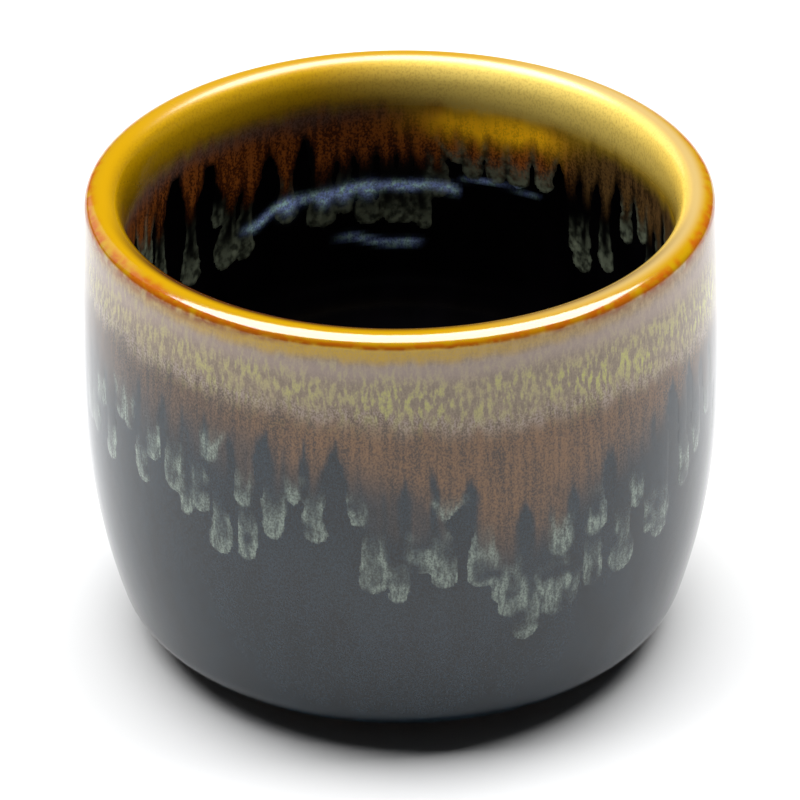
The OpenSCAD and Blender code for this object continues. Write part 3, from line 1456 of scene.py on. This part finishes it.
@dataclass(kw_only=True)
class LipCoat(ShellCoat):
    """Amber glaze over the round lip.

    Attributes:
        outer: Runs outside.
        inner: Runs inside.
    """

    outer: Flow
    inner: Flow
    lathe: Lathe = Lathe(576)
    row: float = 0.33
    back_row: float = 1.2
    steps: int = 11
    back_steps: int = 4

    @property
    def sunk(self) -> float:
        """How far its face lies below the finished surface, which it is itself."""
        return 0.0

    def line(self, inset: float, row: float, steps: int) -> Profile:
        """Follow the coat from the outer wall over the lip to the inner wall.

        Args:
            inset: How far the line lies below the finished surface.
            row: Height of a row of faces.
            steps: Number of steps of each arc.

        Returns:
            Points of radius and height.
        """
        cup, lip = self.section, self.section.lip_line(inset, steps)
        outer = cup.wall_line(Side.OUTER, inset, (cup.cup_h - lip[0][1], cup.band_out), row)
        inner = cup.wall_line(Side.INNER, inset, (cup.cup_h - lip[-1][1], cup.band_in), row)
        return outer[::-1] + lip[1:] + inner[1:]

    def fields(self, piece: Piece) -> Fields:
        """Work out the fields of both sides and of the lip between them.

        Args:
            piece: Piece as it was built.

        Returns:
            Fields of the lip.
        """
        turn, depth, radius = unrolled(piece, self.section)
        across, front = radius - self.section.crest_x, np.cos(np.radians(turn))
        fields = self.outer.fields(turn, depth) | self.inner.fields(turn, depth)
        fields["inner_side"] = 1.0 - ease(-0.3, 0.3, across)
        fields["rust_line"] = fields["rust_line"] * (1.0 - fields["inner_side"])
        # Painted reflection: the inner half of the lip on the right is paler.
        fields["butter_and_sheen"] = ease(0.1, 0.8, wave(turn)) * ease(-1.0, 0.0, -across)
        falls = 1.0 - ease(0.2, 1.5, -across)
        fields["crest"] = np.where(across > 0.0, 1.0 - ease(0.85, 1.05, depth), falls)
        dusk = ease(0.1, 0.8, front) * ease(-0.4, 0.5, -across) * (1.0 - ease(1.0, 2.4, depth))
        fields["dusk"] = held(dusk * (0.9 - 0.35 * wave(turn)))
        fields["far"] = ease(0.0, 0.9, -front)
        return fields


@dataclass
class RunCoat(CupPiece):
    """Running coat over the dark one, melted into it and thin at its edges.

    Attributes:
        flow: Runs of the coat.
        side: Side of the wall that it runs down.
        lap: How far it laps over the lip band.
        lathe: Lathe that its sheet is turned on.
        row: Height of a row of faces.
        sunk: How far the coat's back and edges lie in the dark coat.
        band_h: Height of the coat above the dark one in the band.
        neck_h: Height of its runs, half of that of its drops.
        edge_w: Width over which it rises from its edge.
        edge_slope: Slope at which it sinks into the dark coat past its edge.
        below: How far the sheet reaches below the longest run.
        edge_share: Least share of its thickness, at its edges.
        bare_share: Share of its full height up to which the sheet counts as bare.
        band_fade: Depths below the lip band between which the height of the band fades.
        edge_fade: Depths below the lip band between which the coat starts to thin at its edges.
        crease: Angle above which an edge stays sharp.
        levels: Number of steps in which its height is laid down.
        trims: Number of times that loose threads are cut off its edge.
    """

    flow: Flow
    side: Side
    lap: float = 0.0
    lathe: Lathe = Lathe(576)
    row: float = 0.33
    sunk: float = 0.12
    band_h: float = 0.03
    neck_h: float = 0.008
    edge_w: float = 0.7
    edge_slope: float = 0.15
    below: float = 0.6
    edge_share: float = 0.04
    bare_share: float = 0.001
    band_fade: Point = (1.0, 8.0)
    edge_fade: Point = (1.0, 4.0)
    crease: float = 50.0
    levels: int = 255
    trims: int = 3

    @property
    def full(self) -> float:
        """Thickness of the coat in the band."""
        return self.band_h + self.sunk

    def sheet(self) -> Profile:
        """Give the line on the wall that the coat is laid on.

        Returns:
            Points of radius and height.
        """
        cup, longest = self.section, max(run.reach for run in self.flow.runs)
        ends = (cup.band(self.side) - self.lap, longest + self.below)
        return cup.wall_line(self.side, cup.film_t + self.sunk, ends, self.row)

    def heights(self, turn: np.ndarray, depth: np.ndarray) -> np.ndarray:
        """Work out how high the coat stands.

        Args:
            turn: Turns of the points.
            depth: Depths of the points.

        Returns:
            Heights above the dark coat, less than 0 off the coat.
        """
        shape = self.flow.shape(turn, depth)
        inside = shape["inside"]
        top = self.section.band(self.side)
        band = 1.0 - ease(top + self.band_fade[0], top + self.band_fade[1], depth)
        even = 1.0 - ease(top + self.edge_fade[0], top + self.edge_fade[1], depth)
        thick = self.neck_h * (1.0 + shape["drop"])
        thick = thick + (self.band_h - thick) * band
        risen = thick * (1.0 - np.exp(-np.maximum(inside, 0.0) / self.edge_w))
        risen = risen + (thick - risen) * even
        return np.where(inside > 0.0, risen, np.maximum(inside * self.edge_slope, -self.sunk))

    def build(self) -> Piece:
        """Turn a sheet, raise the coat on it, cut away what is bare and give it thickness.

        Returns:
            The piece.
        """
        piece = self.lathe.turn(self.name, self.sheet())
        if self.side is Side.INNER:
            self.face_axis()
        turn, depth, _ = unrolled(piece, self.section)
        share = held((self.heights(turn, depth) + self.sunk) / self.full)
        group = piece.vertex_groups.new(name="coat")
        steps = np.round(share * self.levels).astype(int)
        for step in np.unique(steps):
            group.add(np.flatnonzero(steps == step).tolist(), step / self.levels, "REPLACE")
        self.cut(piece, share)
        raised = piece.modifiers.new("raise", "DISPLACE")
        raised.vertex_group = group.name
        raised.mid_level = 0.0
        raised.strength = self.full * MM
        shell = piece.modifiers.new("shell", "SOLIDIFY")
        shell.thickness = self.full * MM
        shell.offset = -1.0
        shell.vertex_group = group.name
        shell.thickness_vertex_group = self.edge_share
        for modifier in (raised, shell):
            bpy.ops.object.modifier_apply(modifier=modifier.name)
        bpy.ops.object.shade_smooth_by_angle(angle=math.radians(self.crease))
        return piece

    @staticmethod
    def face_axis() -> None:
        """Turn the face of the sheet that was just made to the axis."""
        bpy.ops.object.mode_set(mode="EDIT")
        bpy.ops.mesh.select_all(action="SELECT")
        bpy.ops.mesh.flip_normals()
        bpy.ops.object.mode_set(mode="OBJECT")

    def cut(self, piece: Piece, share: np.ndarray) -> None:
        """Cut away the bare part of the sheet.

        Args:
            piece: Sheet to cut.
            share: Height of the coat at each vertex, 0 where there is none.
        """
        bare = share <= self.bare_share
        bpy.ops.object.mode_set(mode="EDIT")
        bpy.ops.mesh.select_mode(type="VERT")
        bpy.ops.mesh.select_all(action="DESELECT")
        bpy.ops.object.mode_set(mode="OBJECT")
        piece.data.vertices.foreach_set("select", bare)
        bpy.ops.object.mode_set(mode="EDIT")
        bpy.ops.mesh.delete(type="VERT")
        for _ in range(self.trims):
            bpy.ops.mesh.select_all(action="DESELECT")
            bpy.ops.mesh.select_non_manifold(
                extend=False, use_wire=True, use_boundary=False, use_multi_face=True, use_non_contiguous=True
            )
            bpy.ops.mesh.delete(type="VERT")
        bpy.ops.mesh.select_all(action="SELECT")
        bpy.ops.mesh.delete_loose()
        bpy.ops.object.mode_set(mode="OBJECT")

    def fields(self, piece: Piece) -> Fields:
        """Work out the fields of its side."""
        turn, depth, _ = unrolled(piece, self.section)
        return self.flow.fields(turn, depth)


NEAR_OUTER_RUNS = (
    Run(-59.0, -58.5, 16.0, 2.0), Run(-56.0, -56.0, 16.5, 1.8), Run(-50.0, -48.5, 18.0, 2.2),
    Run(-51.5, -52.0, 21.0, 2.2), Run(-44.0, -43.5, 20.0, 2.4), Run(-43.0, -41.0, 22.0, 1.6),
    Run(-39.0, -37.5, 21.0, 2.2), Run(-34.0, -33.0, 24.7, 2.6), Run(-33.0, -35.5, 15.2, 1.6),
    Run(-29.0, -28.5, 18.8, 1.8), Run(-28.0, -27.5, 24.5, 2.4), Run(-22.0, -22.5, 21.6, 2.4),
    Run(-19.5, -19.0, 17.6, 1.4), Run(-15.0, -15.0, 21.2, 2.4), Run(-7.0, -8.0, 19.0, 1.6),
    Run(-5.0, -5.0, 26.2, 2.8), Run(-2.5, -0.5, 27.2, 2.0), Run(2.5, 3.0, 24.0, 2.0),
    Run(3.5, 7.0, 25.7, 2.8), Run(8.5, 8.0, 18.5, 1.2), Run(15.0, 14.0, 26.0, 3.0),
    Run(16.5, 17.0, 28.0, 2.2), Run(18.0, 19.5, 30.0, 3.1), Run(24.0, 22.5, 33.0, 3.1),
    Run(24.0, 25.5, 28.5, 1.6), Run(30.0, 28.5, 24.2, 2.4), Run(31.0, 28.0, 31.0, 3.1),
    Run(33.0, 31.0, 30.5, 1.8), Run(34.0, 35.5, 29.0, 2.4), Run(35.0, 36.0, 23.3, 2.4),
    Run(41.0, 42.0, 28.8, 3.1), Run(44.0, 45.5, 22.6, 1.8), Run(47.0, 49.0, 26.2, 2.0),
    Run(52.0, 52.5, 27.5, 2.4), Run(58.0, 60.0, 24.0, 2.4),
)
NEAR_INNER_RUNS = (
    Run(116.6, 116.6, 13.2, 2.2), Run(122.7, 122.7, 14.5, 2.4), Run(129.9, 129.9, 19.1, 2.4),
    Run(135.0, 137.0, 20.4, 2.8), Run(140.1, 139.1, 18.6, 1.8), Run(146.2, 147.3, 13.0, 2.4),
    Run(152.4, 153.4, 13.2, 2.6), Run(158.5, 158.5, 13.2, 2.4), Run(164.1, 164.1, 13.2, 2.6),
    Run(168.8, 167.7, 11.5, 1.6), Run(171.8, 171.8, 15.5, 2.6), Run(174.9, 174.9, 19.2, 2.4),
    Run(179.0, 179.0, 18.6, 2.2), Run(183.1, 182.0, 18.6, 2.4), Run(187.2, 187.2, 18.6, 2.6),
    Run(191.2, 192.3, 17.1, 2.2), Run(195.3, 196.4, 18.4, 2.4), Run(196.9, 198.9, 18.2, 1.8),
    Run(205.6, 205.6, 17.2, 2.6), Run(213.8, 216.3, 19.8, 2.8), Run(217.8, 220.9, 20.1, 3.0),
    Run(219.9, 223.0, 15.1, 1.4), Run(231.1, 231.1, 20.1, 3.2), Run(242.4, 242.4, 17.6, 2.6),
    Run(247.5, 247.5, 14.7, 2.4),
)
NEAR_OUTER_GAPS = (
    Gap(-53.0, 9.0, 0.8), Gap(-46.0, 9.6, 1.0), Gap(-41.5, 10.0, 0.6), Gap(-36.0, 9.6, 0.8),
    Gap(-24.0, 9.8, 1.6), Gap(-20.5, 11.0, 0.3), Gap(-17.0, 10.2, 0.9), Gap(-12.5, 11.6, 2.2),
    Gap(0.5, 13.6, 1.2), Gap(5.5, 12.2, 0.9), Gap(11.5, 13.6, 1.6), Gap(21.5, 17.0, 1.8),
    Gap(31.0, 16.6, 1.6), Gap(39.5, 14.2, 1.2),
)
NEAR_INNER_GAPS = (
    Gap(149.5, 9.2, 0.7), Gap(156.0, 9.2, 0.7), Gap(161.5, 9.2, 0.7), Gap(166.0, 9.2, 0.8),
    Gap(200.5, 7.2, 2.2), Gap(208.5, 8.2, 1.3), Gap(224.5, 8.4, 2.8), Gap(236.0, 8.6, 1.8),
)


def far_runs(
    seed: int, ends: Point, step: float, reach: Point, lean: float = 1.5, width: Point = (1.8, 2.8)
) -> tuple[Run, ...]:
    """Scatter runs over the part of the wall that the photograph doesn't show.

    Args:
        seed: Seed of the scatter.
        ends: Turns at which they start and end.
        step: Mean step between them.
        reach: Least and greatest reach.
        lean: Greatest turn between neck and drop.
        width: Least and greatest width of a drop.

    Returns:
        The runs.
    """
    chance = np.random.default_rng(seed)
    runs: list[Run] = []
    for turn in np.arange(*ends, step):
        neck = float(turn + chance.uniform(-0.25, 0.25) * step)
        drop = float(neck + chance.uniform(-lean, lean))
        runs.append(Run(neck, drop, float(chance.uniform(*reach)), float(chance.uniform(*width))))
    return tuple(runs)


@dataclass(frozen=True)
class Studio:
    """White table with soft light from above, seen from the front.

    Attributes:
        distance: Distance of the camera from its aim.
        elevation: Height angle of the camera.
        aim_z: Height of its aim.
        aim_x: Sideways place of camera and aim.
        roll: Turn of the camera about its view.
        lens: Focal length for the sensor.
        sensor: Width of the sensor.
        table_w: Width of the table, in metres.
        table_tone: Brightness of the table.
        sky: Brightness of the surroundings.
        light_away: Distance of the lights from the cup, in metres.
    """

    distance: float = 420.0
    elevation: float = 30.65
    aim_z: float = 22.53
    aim_x: float = -0.12
    roll: float = -0.436
    lens: float = 197.55
    sensor: float = 36.0
    table_w: float = 6.0
    table_tone: float = 0.30
    sky: float = 0.06
    light_away: float = 1.6

    def table(self) -> None:
        """Lay the table."""
        bpy.ops.mesh.primitive_plane_add(size=self.table_w, location=(0.0, 0.0, 0.0))
        table = bpy.context.object
        table.name = "table"
        shades = Shades.named("white_table")
        tone = self.table_tone
        soft = shades.span(shades.noise((60.0, 60.0, 60.0)), 0.3, 0.7)
        colour = shades.blend(soft, (tone, tone, tone), (tone * 0.985, tone * 0.99, tone))
        shades.surface(colour, 0.9, shades.noise((2.0, 2.0, 2.0)), 0.001)
        table.data.materials.append(shades.material)

    def lights(self) -> None:
        """Hang the lights and dim the surroundings."""
        world = bpy.data.worlds.new("white_room")
        world.use_nodes = True
        backdrop = world.node_tree.nodes["Background"]
        backdrop.inputs["Color"].default_value = (0.97, 0.985, 1.0, 1.0)
        backdrop.inputs["Strength"].default_value = self.sky
        bpy.context.scene.world = world
        self.softbox("key_softbox", angle=97.0, side=-1.0, size=(2.5, 1.1), glow=22.5)
        self.softbox("side_window", angle=145.0, side=-40.0, size=(0.9, 0.9), glow=0.9)

    def softbox(self, name: str, angle: float, side: float, size: Point, glow: float) -> None:
        """Hang one flat light that faces the cup.

        Args:
            name: Name of the light.
            angle: Angle of its place from the front over the top, in degrees.
            side: Angle by which it hangs to the right, in degrees.
            size: Width and depth, in metres.
            glow: Brightness of its face.
        """
        turn, lean = math.radians(angle), math.radians(side)
        place = self.light_away * Vector(
            (math.sin(lean), -math.cos(turn) * math.cos(lean), math.sin(turn) * math.cos(lean))
        )
        bpy.ops.object.light_add(type="AREA", location=place)
        light = bpy.context.object
        light.name = name
        light.data.shape = "RECTANGLE"
        light.data.size, light.data.size_y = size
        light.data.energy = glow * math.pi * size[0] * size[1]
        light.rotation_euler = (-place).to_track_quat("-Z", "Y").to_euler()

    def camera(self) -> None:
        """Set the camera up where the photograph was taken from."""
        tilt = math.radians(self.elevation)
        place = (
            self.aim_x * MM,
            -self.distance * math.cos(tilt) * MM,
            (self.aim_z + self.distance * math.sin(tilt)) * MM,
        )
        bpy.ops.object.camera_add(location=place)
        camera = bpy.context.object
        camera.name = "photo_camera"
        aim = Vector((self.aim_x * MM, 0.0, self.aim_z * MM)) - Vector(place)
        camera.rotation_euler = aim.to_track_quat("-Z", "Y").to_euler()
        camera.rotation_euler.rotate_axis("Z", math.radians(self.roll))
        camera.data.lens = self.lens
        camera.data.sensor_width = self.sensor
        camera.data.clip_start = 0.01
        bpy.context.scene.camera = camera

    def build(self) -> None:
        """Set up table, lights and camera."""
        self.table()
        self.lights()
        self.camera()
        bpy.context.scene.view_settings.view_transform = "Standard"


def main() -> None:
    """Build the cup piece by piece in its studio."""
    logging.basicConfig(level=logging.INFO, format="%(message)s")
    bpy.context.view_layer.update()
    section = CupSection.from_frame()
    outer = OuterFlow(
        radius=section.belly_r - 0.4,
        parting=Parting(depth=13.0, lower=7.0, place=20.0, width=24.0),
        runs=NEAR_OUTER_RUNS + far_runs(21, (64.0, 299.0), 4.6, (15.5, 24.5)),
        gaps=NEAR_OUTER_GAPS,
        neck_w=2.1,
    )
    inner = InnerFlow(
        radius=section.inner_r,
        parting=Parting(depth=11.0, lower=1.5, place=214.0, width=16.0),
        runs=NEAR_INNER_RUNS + far_runs(22, (-108.0, 114.0), 5.4, (12.5, 19.5)),
        gaps=NEAR_INNER_GAPS,
        neck_w=1.6,
    )
    slate, run = SlateFinish("slate_glaze", gloss=0.46), RunFinish("running_glaze", gloss=0.46)
    black = BlackFinish("inner_black_glaze", roughness=0.2, gloss=0.05)
    inner_run = InnerRunFinish("inner_running_glaze", roughness=0.3, gloss=0.15)
    lip = LipFinish("amber_lip_glaze", gloss=0.42)
    pieces: list[CupPiece] = [
        ClayBody(section, Node.CLAY, Slot.CLAY, ClayFinish("bare_stoneware")),
        OuterDarkCoat(section, Node.OUTER_DARK, Slot.OUTER_DARK, slate),
        InnerDarkCoat(section, Node.INNER_DARK, Slot.INNER_DARK, black, flow=inner),
        LipCoat(section, Node.LIP, Slot.LIP, lip, outer=outer, inner=inner),
        RunCoat(section, Node.OUTER_RUN, Slot.OUTER_RUN, run, flow=outer, side=Side.OUTER),
        RunCoat(section, Node.INNER_RUN, Slot.INNER_RUN, inner_run, flow=inner, side=Side.INNER, lap=0.02),
    ]
    for piece in pieces:
        piece.place()
    Studio().build()


if __name__ == "__main__":
    main()
